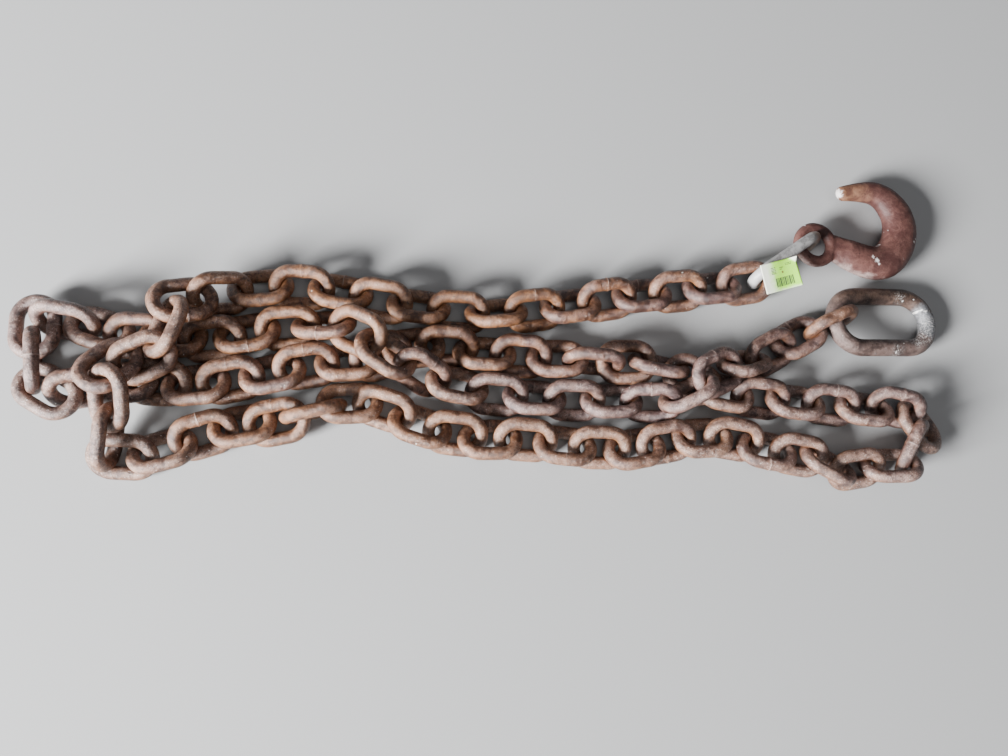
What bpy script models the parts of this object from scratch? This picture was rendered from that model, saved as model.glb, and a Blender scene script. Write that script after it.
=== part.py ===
"""A heap of short-link steel chain, laid to and fro on the ground in four runs.

One end carries a forged hook on a long coupling link with a paper lot tag, the other end a large end link.
Metres, +Z up. The chain's wire, its inside length and its inside width set every link. The route gives a
place for each link, and each link then bears on its neighbours and on the ground as real ones do.
"""
from math import atan2, cos, pi, radians, sin

import bmesh
import bpy
import numpy as np
from mathutils import Matrix, Vector

OBJECT_NAME = "chain_heap"

# Chain links
LINK_COUNT = 96
WIRE = 0.016
INSIDE_LENGTH = 0.048
INSIDE_WIDTH = 0.025

# Long coupling link between the chain and the hook
COUPLING_WIRE = 0.015
COUPLING_INSIDE_LENGTH = 0.092
COUPLING_INSIDE_WIDTH = 0.022

# Large link at the other end
END_WIRE = 0.0225
END_INSIDE_LENGTH = 0.120
END_INSIDE_WIDTH = 0.049

# Forged hook, lying flat
EYE_HOLE = 0.031
EYE_WIRE = 0.0155
HOOK_BREADTH = 0.048
HOOK_FLATNESS = 0.72

# Paper lot tag on the coupling link
TAG_LENGTH = 0.051
TAG_WIDTH = 0.038
TAG_THICKNESS = 0.0006

# Gaps between the solids: links of one pair bite into each other, all others stay clear
JOINT_GAP = 0.0004
PAIR_BITE = 0.002
SEAT_GAP = 0.0003
GROUND_GAP = 0.00003

# Points of a mesh that lie closer together than this are one point
WELD_REACH = 0.00001

# Fineness of the solids
BEND_CORNERS = 5
WIRE_SIDES = 8
EYE_CORNERS = 18

# The places below are counted in steps, so that they grow with the pitch of the links
STEPS_IN_PITCH = 48

# Middle of each link on the ground and its height, in steps, from the hook's end to the end link's
ROUTE = (
    (315, 136, 21), (276, 125, 21), (227, 122, 21), (179, 114, 21),
    (133, 107, 21), (84, 94, 21), (38, 87, 21), (-10, 82, 21),
    (-57, 75, 21), (-107, 81, 21), (-153, 91, 21), (-202, 100, 21),
    (-251, 102, 21), (-299, 98, 22), (-346, 92, 42), (-380, 80, 56),
    (-393, 33, 60), (-415, 3, 58), (-452, 8, 60), (-453, -37, 54),
    (-456, -76, 40), (-438, -96, 21), (-391, -93, 21), (-350, -74, 21),
    (-305, -66, 21), (-267, -56, 18), (-227, -48, 24), (-186, -38, 18),
    (-142, -37, 21), (-104, -65, 21), (-56, -69, 21), (-18, -76, 21),
    (28, -72, 21), (73, -83, 21), (121, -83, 21), (163, -86, 21),
    (204, -72, 21), (249, -70, 21), (293, -67, 21), (334, -88, 21),
    (384, -86, 21), (412, -106, 21), (450, -97, 22), (486, -96, 25),
    (521, -68, 30), (555, -58, 21), (520, -33, 24), (475, -30, 23),
    (434, -19, 21), (386, -23, 21), (336, -13, 21), (287, -13, 21),
    (242, 7, 21), (198, 16, 21), (155, 22, 21), (110, 20, 21),
    (68, 24, 21), (20, 27, 21), (-26, 32, 21), (-72, 32, 21),
    (-115, 34, 21), (-156, 24, 21), (-195, 14, 21), (-237, 14, 21),
    (-280, 2, 21), (-324, -8, 21), (-365, -21, 21), (-406, -19, 21),
    (-447, -24, 16), (-484, -36, 20), (-521, -30, 20), (-522, 2, 30),
    (-535, 32, 32), (-508, 56, 32), (-473, 41, 21), (-433, 41, 21),
    (-392, 36, 21), (-352, 37, 21), (-305, 46, 21), (-261, 55, 24),
    (-217, 59, 38), (-179, 49, 54), (-142, 21, 64), (-102, 7, 46),
    (-60, -10, 26), (-12, -17, 21), (35, -22, 21), (83, -27, 21),
    (131, -23, 24), (180, -19, 34), (228, -23, 44), (263, 8, 54),
    (308, 22, 42), (349, 48, 28), (389, 63, 21), (425, 82, 21),
)

# How far the links lean by turns to one side and the other, in degrees, and where along the chain
# that lean is turned over: pairs of link number and degrees
LEAN = 40
LEAN_TURNS = (
    (1, 0), (24, 0), (30, -90), (44, -90), (47, 0), (53, 0), (58, 90), (69, 90), (71, 60), (72, 40), (74, 0),
)

# Links that don't lie along the route: link number, heading, rise and lean, in degrees
TURNED = {
    16: (-167, 8, 0), 17: (-104, -4, 45), 18: (-156, 0, -32), 19: (-128, 10, 0),
    20: (-88, -10, 30), 21: (-90, -12, -85), 22: (-8, 0, 36), 42: (-28, -4, -50),
    44: (0, 5, -45), 45: (75, 8, 65), 46: (-54, 0, -32), 47: (170, 0, -42),
    48: (175, 0, 40), 69: (187, 0, 15), 70: (178, 0, 115), 71: (142, 0, 10),
    72: (103, 0, 112), 73: (96, 0, 0), 74: (-9, 0, 62),
}

# The link that lies on a flat of its lower bar, level on the ground
REST_LINK = 8

# Places of the end pieces: middle in steps; heading, rise and lean in degrees
COUPLING_PLACE = (383, 173, 24)
COUPLING_SET = (33, 0, 68)
HOOK_PLACE = (422, 194)
HOOK_SET = (-4, -3, 0)
END_LINK_PLACE = (510, 92, 19)
END_LINK_SET = (2, -6.6, 0)
TAG_PLACE = (352, 149)
TAG_SET = (17, 0, 12)

# The hook's spine from the eye to the tip: along, across and breadth, in steps of its greatest breadth
STEPS_IN_BREADTH = 48
HOOK_SPINE = (
    (24, 0, 37), (38, -4, 39), (52, -8, 42), (68, -12, 44), (86, -14, 46), (102, -9, 48), (115, 4, 48),
    (124, 21, 47), (127, 41, 46), (122, 62, 43), (107, 80, 38), (89, 88, 33), (70, 87, 28), (54, 84, 24),
    (42, 81, 21),
)

# Letting the links settle
SAMPLES = 64
MARKS = 5
SOFT_STEPS = 140
ROUND_STEPS = 100
FLAT_STEPS = 240
SINK = 0.00025
PLACE_SHARE = 0.004
TURN_SHARE = 0.02
TURNED_SHARE = 0.2
PULL_SHARE = 0.6
MOVE_SHARE = 0.7
LEAST_YIELD = 0.001
REACH = 0.002
STEPS_BETWEEN_LISTS = 10

# Order of the end pieces after the links
COUPLING = LINK_COUNT
HOOK = LINK_COUNT + 1
END_LINK = LINK_COUNT + 2

CHAIN_COLOUR = (0.16, 0.105, 0.09)
BARE_COLOUR = (0.36, 0.35, 0.35)
HOOK_COLOUR = (0.19, 0.075, 0.055)
TAG_COLOUR = (0.72, 0.95, 0.35)


# The section of a wire: a regular figure with a flat facing inward, a little narrower across each bend

def bend_turn(corners):
    """The angle between two straight pieces of a half-round bend with that many corners."""
    return pi / corners


def corner_radius(wire, turn):
    """The section's radius at its corners, for the same area as the round wire."""
    area_share = 2 * pi / (WIRE_SIDES * sin(2 * pi / WIRE_SIDES) * cos(turn / 2))
    return wire / 2 * area_share ** 0.5


def flat_angle(turn):
    """The angle between the link's plane and the second flat of its section, narrowed in that plane."""
    return atan2(cos(turn / 2) * sin(2 * pi / WIRE_SIDES), cos(2 * pi / WIRE_SIDES))


# Outlines of the closed pieces, along the middle of their wire

def link_outline(inside_length, inside_width, wire):
    """Corners of a long round-ended outline whose straight pieces touch the true curve."""
    radius = (inside_width + wire) / 2
    middle = (inside_length - inside_width) / 2
    turn = bend_turn(BEND_CORNERS)
    corner = radius / cos(turn / 2)
    points = []
    for side in (1, -1):
        for k in range(BEND_CORNERS):
            angle = -pi / 2 + (k + 0.5) * turn
            points.append((side * (middle + corner * cos(angle)), side * corner * sin(angle)))
    return points


def eye_outline():
    """Corners of the round eye's outline."""
    turn = 2 * pi / EYE_CORNERS
    corner = (EYE_HOLE + EYE_WIRE) / 2 / cos(turn / 2)
    return [(corner * cos(k * turn), corner * sin(k * turn)) for k in range(EYE_CORNERS)]


def spaced(outline):
    """Even samples along an outline."""
    corners = np.array(outline)
    ahead = np.roll(corners, -1, axis=0)
    lengths = np.linalg.norm(ahead - corners, axis=1)
    start = np.concatenate([[0.0], np.cumsum(lengths)])
    at = (np.arange(SAMPLES) + 0.5) * start[-1] / SAMPLES
    piece = np.searchsorted(start, at, side="right") - 1
    share = ((at - start[piece]) / lengths[piece])[:, None]
    points = corners[piece] * (1 - share) + ahead[piece] * share
    return np.hstack([points, np.zeros((SAMPLES, 1))])


def wire_rings(outline, radius):
    """The corners of the wire's section at each corner of its outline."""
    points = np.hstack([np.array(outline), np.zeros((len(outline), 1))])
    back = np.roll(points, 1, axis=0) - points
    ahead = np.roll(points, -1, axis=0) - points
    inward = back / np.linalg.norm(back, axis=1)[:, None] + ahead / np.linalg.norm(ahead, axis=1)[:, None]
    inward /= np.linalg.norm(inward, axis=1)[:, None]
    angles = (np.arange(WIRE_SIDES) + 0.5) * 2 * pi / WIRE_SIDES
    square = np.array([0.0, 0.0, 1.0])
    return (points[:, None] + radius * (np.cos(angles)[None, :, None] * inward[:, None]
                                        + np.sin(angles)[None, :, None] * square))


# First places of the pieces

def turned_frame(axis, lean):
    """Columns along the piece, across it and square to it, leaning about its own length."""
    along = np.array(axis) / np.linalg.norm(axis)
    side = np.cross([0.0, 0.0, 1.0], along)
    side /= np.linalg.norm(side)
    up = np.cross(along, side)
    across = cos(lean) * side + sin(lean) * up
    return np.stack([along, across, np.cross(along, across)], axis=1)


def headed_frame(heading, rise, lean):
    """The same for a piece whose heading and rise are given, all in degrees."""
    heading, rise = radians(heading), radians(rise)
    axis = (cos(heading) * cos(rise), sin(heading) * cos(rise), sin(rise))
    return turned_frame(axis, radians(lean))


def lowest_of_link(frame):
    """How low a link in that frame reaches below its middle."""
    turn = bend_turn(BEND_CORNERS)
    rings = wire_rings(link_outline(INSIDE_LENGTH, INSIDE_WIDTH, WIRE), corner_radius(WIRE, turn))
    return (rings @ frame[2]).min()


def route_step():
    """The length that the places along the route are counted in, a share of the pitch of the links."""
    return INSIDE_LENGTH / STEPS_IN_PITCH


def hook_spine():
    """Places along and across the hook, and its breadth, for each point of its spine."""
    return np.array(HOOK_SPINE) * HOOK_BREADTH / STEPS_IN_BREADTH


def first_places():
    """Middle and frame of every link, as the route and the leans have them."""
    middles = np.array(ROUTE) * route_step()
    ends = np.vstack([2 * middles[:1] - middles[1:2], middles, 2 * middles[-1:] - middles[-2:-1]])
    joints = (ends[1:] + ends[:-1]) / 2
    numbers, turns = zip(*LEAN_TURNS)
    frames = []
    for k in range(LINK_COUNT):
        number = k + 1
        if number in TURNED:
            frames.append(headed_frame(*TURNED[number]))
            continue
        side = -1 if number % 2 else 1
        if number == REST_LINK:
            lean = pi / 2 - flat_angle(bend_turn(BEND_CORNERS))
            axis = joints[k + 1] - joints[k]
            frames.append(turned_frame((axis[0], axis[1], 0.0), side * lean))
            middles[k, 2] = -lowest_of_link(frames[-1])
            continue
        lean = side * LEAN + np.interp(number, numbers, turns)
        frames.append(turned_frame(joints[k + 1] - joints[k], radians(lean)))
    return middles, np.array(frames)


# Letting the pieces bear on one another

def turn_frames(frames, turns):
    """Turn each frame by a small rotation vector and square it up again."""
    moved = frames + np.cross(turns[:, None, :], frames.transpose(0, 2, 1)).transpose(0, 2, 1)
    along = moved[:, :, 0] / np.linalg.norm(moved[:, :, 0], axis=1)[:, None]
    across = moved[:, :, 1] - along * (along * moved[:, :, 1]).sum(axis=1)[:, None]
    across /= np.linalg.norm(across, axis=1)[:, None]
    return np.stack([along, across, np.cross(along, across)], axis=2)


class Pieces:
    """The closed pieces of the chain: loops of wire with a middle, a frame and a freedom to move."""

    def __init__(self):
        link = (link_outline(INSIDE_LENGTH, INSIDE_WIDTH, WIRE), WIRE, bend_turn(BEND_CORNERS))
        coupling = link_outline(COUPLING_INSIDE_LENGTH, COUPLING_INSIDE_WIDTH, COUPLING_WIRE)
        end_link = link_outline(END_INSIDE_LENGTH, END_INSIDE_WIDTH, END_WIRE)
        kinds = [link] * LINK_COUNT + [
            (coupling, COUPLING_WIRE, bend_turn(BEND_CORNERS)),
            (eye_outline(), EYE_WIRE, 2 * pi / EYE_CORNERS),
            (end_link, END_WIRE, bend_turn(BEND_CORNERS)),
        ]
        self.wires = np.array([wire for outline, wire, turn in kinds])
        self.loops = np.array([spaced(outline) for outline, wire, turn in kinds])
        self.rings = [wire_rings(outline, corner_radius(wire, turn)) for outline, wire, turn in kinds]
        self.swing = np.linalg.norm(self.loops, axis=2).mean(axis=1) * 0.8
        self.free = (WIRE / self.wires) ** 2 * self.swing[0] / self.swing
        self.free[[REST_LINK - 1, HOOK]] = 0
        self.middles, self.frames = first_places()
        end_places = (
            (COUPLING_PLACE, COUPLING_SET),
            ((*HOOK_PLACE, hook_height() / route_step()), HOOK_SET),
            (END_LINK_PLACE, END_LINK_SET),
        )
        for place, turned in end_places:
            self.middles = np.vstack([self.middles, np.array(place) * route_step()])
            self.frames = np.concatenate([self.frames, [headed_frame(*turned)]])
        self.joined = [(k, k + 1) for k in range(LINK_COUNT - 1)]
        self.wanted = [-PAIR_BITE if k % 2 == 0 else JOINT_GAP for k in range(LINK_COUNT - 1)]
        self.joined += [(0, COUPLING), (COUPLING, HOOK), (LINK_COUNT - 1, END_LINK)]
        self.wanted += [JOINT_GAP] * 3


class Bars:
    """The straight pieces of wire between the corners, each a convex solid."""

    def __init__(self, pieces):
        owner, corners, marks, along, flats, mitres = [], [], [], [], [], []
        shares = ((np.arange(MARKS) + 0.5) / MARKS)[:, None]
        for k, rings in enumerate(pieces.rings):
            middles = rings.mean(axis=1)
            count = len(rings)
            for n in range(count):
                m = (n + 1) % count
                length = middles[m] - middles[n]
                direction = length / np.linalg.norm(length)
                sides = np.roll(rings[n], -1, axis=0) - rings[n]
                normals = np.cross(sides, direction)[: WIRE_SIDES // 2]
                owner.append(k)
                corners.append(np.vstack([rings[n], rings[m]]))
                marks.append(middles[n] + shares * length)
                along.append(direction)
                flats.append(normals / np.linalg.norm(normals, axis=1)[:, None])
                ends = [np.cross(r[2] - r[0], r[1] - r[0]) for r in (rings[n], rings[m])]
                mitres.append([end / np.linalg.norm(end) for end in ends])
        self.owner = np.array(owner)
        self.corners = np.array(corners)
        self.marks = np.array(marks)
        self.along = np.array(along)[:, None]
        self.flats = np.array(flats)
        self.mitres = np.array(mitres)
        self.reach = np.linalg.norm(self.corners - self.corners.mean(axis=1)[:, None], axis=2).max(axis=1)


def hook_height():
    """Height of the eye's middle over the ground where the hook's broad part touches it."""
    slope = sin(radians(HOOK_SET[1]))
    half = (HOOK_FLATNESS * cos(pi / WIRE_SIDES) - sin(pi / WIRE_SIDES) * slope) / 2
    return max(breadth * half - along * slope for along, across, breadth in hook_spine())


def near_pieces(pieces):
    """Joined pairs first, then every other pair that could touch."""
    size = np.linalg.norm(pieces.loops, axis=2).max(axis=1) + pieces.wires / 2 + REACH
    apart = np.linalg.norm(pieces.middles[:, None] - pieces.middles[None], axis=2)
    first, second = np.nonzero(np.triu(apart < size[:, None] + size[None], 1))
    known = set(pieces.joined)
    others = [(i, j) for i, j in zip(first, second)
              if (i, j) not in known and pieces.free[i] + pieces.free[j] > 0]
    return np.array(pieces.joined + others), np.array(pieces.wanted + [JOINT_GAP] * len(others))


def push_apart(pieces, i, j, where_one, where_two, toward, amount):
    """Small moves and turns that change the gaps between pieces i and j by the amounts."""
    swing = pieces.free / pieces.swing ** 2
    lever_one = np.cross(where_one - pieces.middles[i], toward)
    lever_two = np.cross(where_two - pieces.middles[j], toward)
    yielding = (pieces.free[i] + pieces.free[j]
                + (lever_one ** 2).sum(axis=1) * swing[i] + (lever_two ** 2).sum(axis=1) * swing[j])
    strength = (amount / np.maximum(yielding, LEAST_YIELD))[:, None]
    shift = np.zeros_like(pieces.middles)
    turn = np.zeros_like(pieces.middles)
    np.add.at(shift, i, -toward * strength * pieces.free[i][:, None])
    np.add.at(shift, j, toward * strength * pieces.free[j][:, None])
    np.add.at(turn, i, -lever_one * strength * swing[i][:, None])
    np.add.at(turn, j, lever_two * strength * swing[j][:, None])
    return shift, turn


def lift_out(pieces, owner, where, depth):
    """Small moves and turns that bring sunken points back up to the ground."""
    swing = pieces.free / pieces.swing ** 2
    lever = np.cross(where - pieces.middles[owner], [0.0, 0.0, 1.0])
    yielding = pieces.free[owner] + (lever ** 2).sum(axis=1) * swing[owner]
    strength = depth / np.maximum(yielding, LEAST_YIELD)
    shift = np.zeros_like(pieces.middles)
    turn = np.zeros_like(pieces.middles)
    np.add.at(shift[:, 2], owner, strength * pieces.free[owner])
    np.add.at(turn, owner, lever * (strength * swing[owner])[:, None])
    return shift, turn


def move(pieces, shift, turn):
    pieces.middles = pieces.middles + MOVE_SHARE * shift
    pieces.frames = turn_frames(pieces.frames, MOVE_SHARE * turn)


def bear_round(pieces, pairs, wanted):
    """One step in which the wires count as round: touching ones push apart, joined ones draw together."""
    points = pieces.loops @ pieces.frames.transpose(0, 2, 1) + pieces.middles[:, None]
    i, j = pairs[:, 0], pairs[:, 1]
    one, two = points[i], points[j]
    apart = (one ** 2).sum(axis=2)[:, :, None] + (two ** 2).sum(axis=2)[:, None]
    apart -= 2 * one @ two.transpose(0, 2, 1)
    nearest = apart.reshape(len(pairs), -1).argmin(axis=1)
    row = np.arange(len(pairs))
    here, there = one[row, nearest // SAMPLES], two[row, nearest % SAMPLES]
    distance = np.linalg.norm(there - here, axis=1)
    push = wanted - distance + (pieces.wires[i] + pieces.wires[j]) / 2
    joined = row < len(pieces.joined)
    push = np.where(push > 0, push, np.where(joined, PULL_SHARE * push, 0.0))
    shift, turn = push_apart(pieces, i, j, here, there, (there - here) / distance[:, None], push)
    every = np.arange(len(points))
    lowest = points[every, points[:, :, 2].argmin(axis=1)]
    depth = np.maximum(pieces.wires / 2 - lowest[:, 2], 0.0)
    up, over = lift_out(pieces, every, lowest, depth)
    move(pieces, shift + up, turn + over)


def bar_gaps(pieces, bars, one, two):
    """Widest gap, or least overlap, between bars over the planes that can part them, and its direction."""
    frames = pieces.frames[bars.owner].transpose(0, 2, 1)
    middles = pieces.middles[bars.owner][:, None]
    corners = bars.corners @ frames + middles
    marks = bars.marks @ frames + middles
    along = (bars.along @ frames)[:, 0]
    faces = np.concatenate([bars.flats, bars.mitres], axis=1) @ frames
    row = np.arange(len(one))
    apart = ((marks[one][:, :, None] - marks[two][:, None]) ** 2).sum(axis=3).reshape(len(one), -1)
    nearest = apart.argmin(axis=1)
    here, there = marks[one][row, nearest // MARKS], marks[two][row, nearest % MARKS]
    toward = (there - here) / np.linalg.norm(there - here, axis=1)[:, None]
    square = np.cross(along[one], along[two])
    size = np.linalg.norm(square, axis=1)[:, None]
    square = np.where(size > 0.05, square / np.maximum(size, 0.05), toward)
    axes = np.concatenate([faces[one], faces[two], square[:, None], toward[:, None]], axis=1)
    reach_one = corners[one] @ axes.transpose(0, 2, 1)
    reach_two = corners[two] @ axes.transpose(0, 2, 1)
    ahead = reach_two.min(axis=1) - reach_one.max(axis=1)
    behind = reach_one.min(axis=1) - reach_two.max(axis=1)
    best = np.maximum(ahead, behind).argmax(axis=1)
    forward = np.where(ahead[row, best] >= behind[row, best], 1.0, -1.0)
    gaps = np.maximum(ahead, behind)[row, best]
    return gaps, axes[row, best] * forward[:, None], here, there, corners


def near_bars(pieces, bars):
    """Pairs of bars of different pieces that are close, the pair of pieces of each and the wanted gap."""
    centres = np.einsum("nij,nj->ni", pieces.frames[bars.owner], bars.corners.mean(axis=1))
    centres += pieces.middles[bars.owner]
    squares = (centres ** 2).sum(axis=1)
    apart = squares[:, None] + squares[None] - 2 * centres @ centres.T
    limit = (bars.reach[:, None] + bars.reach[None] + REACH) ** 2
    one, two = np.nonzero(np.triu(apart < limit, 1))
    movable = pieces.free[bars.owner[one]] + pieces.free[bars.owner[two]] > 0
    keep = (bars.owner[one] != bars.owner[two]) & movable
    one, two = one[keep], two[keep]
    close = bar_gaps(pieces, bars, one, two)[0] < REACH
    one, two = one[close], two[close]
    known = {pair: k for k, pair in enumerate(pieces.joined)}
    joint = np.array([known.get((i, j), -1) for i, j in zip(bars.owner[one], bars.owner[two])])
    wanted = np.where(joint >= 0, np.array(pieces.wanted)[joint], JOINT_GAP)
    return one, two, joint, wanted


def bear_flat(pieces, bars, near):
    """One step in which the wires count with their flats, as they are built."""
    one, two, joint, wanted = near
    gaps, toward, here, there, corners = bar_gaps(pieces, bars, one, two)
    i, j = bars.owner[one], bars.owner[two]
    push = np.maximum(wanted - gaps, 0.0)
    least = np.full(len(pieces.joined), np.inf)
    np.minimum.at(least, joint[joint >= 0], gaps[joint >= 0])
    slack = (joint >= 0) & (gaps == least[joint]) & (gaps > wanted)
    push[slack] = PULL_SHARE * (wanted - gaps)[slack]
    pair = i * len(pieces.free) + j
    crowd = np.bincount(pair, weights=push != 0)[pair]
    shift, turn = push_apart(pieces, i, j, here, there, toward, push / np.maximum(crowd, 1))
    every = np.arange(len(corners))
    lowest = corners[every, corners[:, :, 2].argmin(axis=1)]
    depth = np.maximum(GROUND_GAP - lowest[:, 2], 0.0)
    crowd = np.bincount(bars.owner, weights=depth > 0)[bars.owner]
    up, over = lift_out(pieces, bars.owner, lowest, depth / np.maximum(crowd, 1))
    move(pieces, shift + up, turn + over)


def settle():
    """Let the pieces sink and bear on one another near their first places, then clear what still touches."""
    pieces = Pieces()
    first_middles = pieces.middles.copy()
    first_frames = pieces.frames.copy()
    movable = (pieces.free > 0)[:, None]
    turned = np.isin(np.arange(len(pieces.free)) + 1, list(TURNED))[:, None]
    turn_share = np.where(turned, TURNED_SHARE, TURN_SHARE)
    for step in range(SOFT_STEPS + ROUND_STEPS):
        if step % STEPS_BETWEEN_LISTS == 0:
            pairs, wanted = near_pieces(pieces)
        if step < SOFT_STEPS:
            pieces.middles[:, 2] -= SINK * movable[:, 0]
            pieces.middles[:, :2] += PLACE_SHARE * movable * (first_middles - pieces.middles)[:, :2]
            columns, wanted_columns = pieces.frames.transpose(0, 2, 1), first_frames.transpose(0, 2, 1)
            error = np.cross(columns, wanted_columns).sum(axis=1) / 2
            pieces.frames = turn_frames(pieces.frames, turn_share * movable * error)
        bear_round(pieces, pairs, wanted)
    bars = Bars(pieces)
    for step in range(FLAT_STEPS):
        if step % STEPS_BETWEEN_LISTS == 0:
            near = near_bars(pieces, bars)
        bear_flat(pieces, bars, near)
    return pieces


# Blender objects

def collection(name):
    made = bpy.data.collections.new(name)
    bpy.context.scene.collection.children.link(made)
    return made


def material(name, colour, roughness, metallic):
    made = bpy.data.materials.new(name)
    made.use_nodes = True
    shader = made.node_tree.nodes["Principled BSDF"]
    shader.inputs["Base Color"].default_value = (*colour, 1.0)
    shader.inputs["Roughness"].default_value = roughness
    shader.inputs["Metallic"].default_value = metallic
    made.diffuse_color = (*colour, 1.0)
    return made


def new_object(name, mesh, home):
    made = bpy.data.objects.new(name, mesh)
    home.objects.link(made)
    return made


def curve_mesh(name, points, radii, wire_radius, closed):
    """The mesh of a wire along the points, with a flat of its section facing inward and its caps welded."""
    curve = bpy.data.curves.new(name, "CURVE")
    curve.dimensions = "3D"
    curve.bevel_depth = wire_radius
    curve.bevel_resolution = WIRE_SIDES // 2 - 2
    curve.use_fill_caps = True
    spline = curve.splines.new("POLY")
    spline.points.add(len(points) - 1)
    for place, point, radius in zip(spline.points, points, radii):
        place.co = (*point, 0.0, 1.0)
        place.radius = radius
        place.tilt = pi / WIRE_SIDES
    spline.use_cyclic_u = closed
    holder = bpy.data.objects.new(name, curve)
    bpy.context.scene.collection.objects.link(holder)
    bpy.context.view_layer.update()
    mesh = bpy.data.meshes.new_from_object(holder.evaluated_get(bpy.context.evaluated_depsgraph_get()))
    mesh.name = name
    bpy.data.objects.remove(holder)
    bpy.data.curves.remove(curve)
    work = bmesh.new()
    work.from_mesh(mesh)
    bmesh.ops.remove_doubles(work, verts=work.verts, dist=WELD_REACH)
    bmesh.ops.recalc_face_normals(work, faces=work.faces)
    work.to_mesh(mesh)
    work.free()
    mesh.shade_smooth()
    mesh.set_sharp_from_angle(angle=radians(50))
    return mesh


def loop_mesh(name, outline, wire, turn):
    return curve_mesh(name, outline, [1.0] * len(outline), corner_radius(wire, turn), True)


def placed(pieces, k, shift):
    """The world matrix of piece k."""
    frame = Matrix(pieces.frames[k].tolist()).to_4x4()
    return Matrix.Translation(Vector(pieces.middles[k]) + shift) @ frame


def joined_to(target, cutter):
    """Join a second solid to the first by an exact union."""
    cutter.hide_render = True
    cutter.display_type = "WIRE"
    union = target.modifiers.new("Join_" + cutter.name, "BOOLEAN")
    union.operation = "UNION"
    union.solver = "EXACT"
    union.object = cutter


def apply_unions(made):
    """Turn an object with its unions into one plain solid, without small hollows between touching flats."""
    graph = bpy.context.evaluated_depsgraph_get()
    mesh = bpy.data.meshes.new_from_object(made.evaluated_get(graph), depsgraph=graph)
    cutters = [union.object for union in made.modifiers]
    made.modifiers.clear()
    made.data = mesh
    mesh.name = made.name
    work = bmesh.new()
    work.from_mesh(mesh)
    left = set(work.verts)
    shells = []
    while left:
        shell = {left.pop()}
        front = list(shell)
        while front:
            near = {edge.other_vert(vert) for vert in front for edge in vert.link_edges}
            front = list(near - shell)
            shell |= near
        left -= shell
        shells.append(shell)
    shells.sort(key=len)
    hollows = [vert for shell in shells[:-1] for vert in shell]
    bmesh.ops.delete(work, geom=hollows, context="VERTS")
    work.to_mesh(mesh)
    work.free()
    for cutter in cutters:
        bpy.data.objects.remove(cutter)


def build_links(pieces, shift, home, hidden):
    """Every two links that follow one another make one solid, named by their numbers along the chain."""
    mesh = loop_mesh("link", link_outline(INSIDE_LENGTH, INSIDE_WIDTH, WIRE), WIRE, bend_turn(BEND_CORNERS))
    for k in range(0, LINK_COUNT, 2):
        name = "links_%02d_%02d" % (k + 1, k + 2)
        first = new_object(name, mesh.copy(), home)
        first.matrix_world = placed(pieces, k, shift)
        first.data.materials.append(material(name, CHAIN_COLOUR, 0.6, 0.6))
        second = new_object("second_of_" + name, mesh, hidden)
        second.matrix_world = placed(pieces, k + 1, shift)
        joined_to(first, second)


def build_single_link(name, k, sizes, colour, pieces, shift, home):
    inside_length, inside_width, wire = sizes
    outline = link_outline(inside_length, inside_width, wire)
    made = new_object(name, loop_mesh(name, outline, wire, bend_turn(BEND_CORNERS)), home)
    made.matrix_world = placed(pieces, k, shift)
    made.data.materials.append(material(name, colour, 0.5, 0.8))


def build_hook(pieces, shift, home, hidden):
    """The forged body is a wire of changing breadth pressed flat; the round eye is joined to it."""
    spine = [(along, across) for along, across, breadth in hook_spine()]
    radii = [breadth / 2 for along, across, breadth in hook_spine()]
    tip_ahead = Vector(spine[-1]) - Vector(spine[-2])
    tip_ahead.normalize()
    tip, tip_radius = Vector(spine[-1]), radii[-1]
    for share, narrowed in ((0.45, 0.82), (0.75, 0.5)):
        spine.append(tuple(tip + tip_ahead * tip_radius * share))
        radii.append(tip_radius * narrowed)
    mesh = curve_mesh("hook", spine, radii, 1.0, False)
    mesh.transform(Matrix.Diagonal((1.0, 1.0, HOOK_FLATNESS, 1.0)))
    body = new_object("hook", mesh, home)
    body.matrix_world = placed(pieces, HOOK, shift)
    body.data.materials.append(material("hook", HOOK_COLOUR, 0.55, 0.4))
    ring = loop_mesh("hook_eye_ring", eye_outline(), EYE_WIRE, 2 * pi / EYE_CORNERS)
    eye = new_object("hook_eye_ring", ring, hidden)
    eye.matrix_world = body.matrix_world
    joined_to(body, eye)


def build_tag(pieces, shift, home):
    """A thin card, laid slanting on what is highest below it."""
    frame = headed_frame(*TAG_SET)
    middle = np.array([*TAG_PLACE, 0]) * route_step()
    highest = -1.0
    for k in (0, 1, COUPLING, HOOK):
        half = corner_radius(pieces.wires[k], bend_turn(BEND_CORNERS))
        seen = (pieces.loops[k] @ pieces.frames[k].T + pieces.middles[k] - middle) @ frame
        under = (abs(seen[:, 0]) < TAG_LENGTH / 2 + half) & (abs(seen[:, 1]) < TAG_WIDTH / 2 + half)
        highest = max(highest, seen[under, 2].max(initial=-1.0) + half)
    middle = middle + frame[:, 2] * (highest + SEAT_GAP + TAG_THICKNESS / 2)
    work = bmesh.new()
    bmesh.ops.create_cube(work, size=1.0, matrix=Matrix.Diagonal((TAG_LENGTH, TAG_WIDTH, TAG_THICKNESS, 1.0)))
    mesh = bpy.data.meshes.new("lot_tag")
    work.to_mesh(mesh)
    work.free()
    tag = new_object("lot_tag", mesh, home)
    tag.matrix_world = Matrix.Translation(Vector(middle) + shift) @ Matrix(frame.tolist()).to_4x4()
    tag.data.materials.append(material("lot_tag", TAG_COLOUR, 0.6, 0.0))


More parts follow.
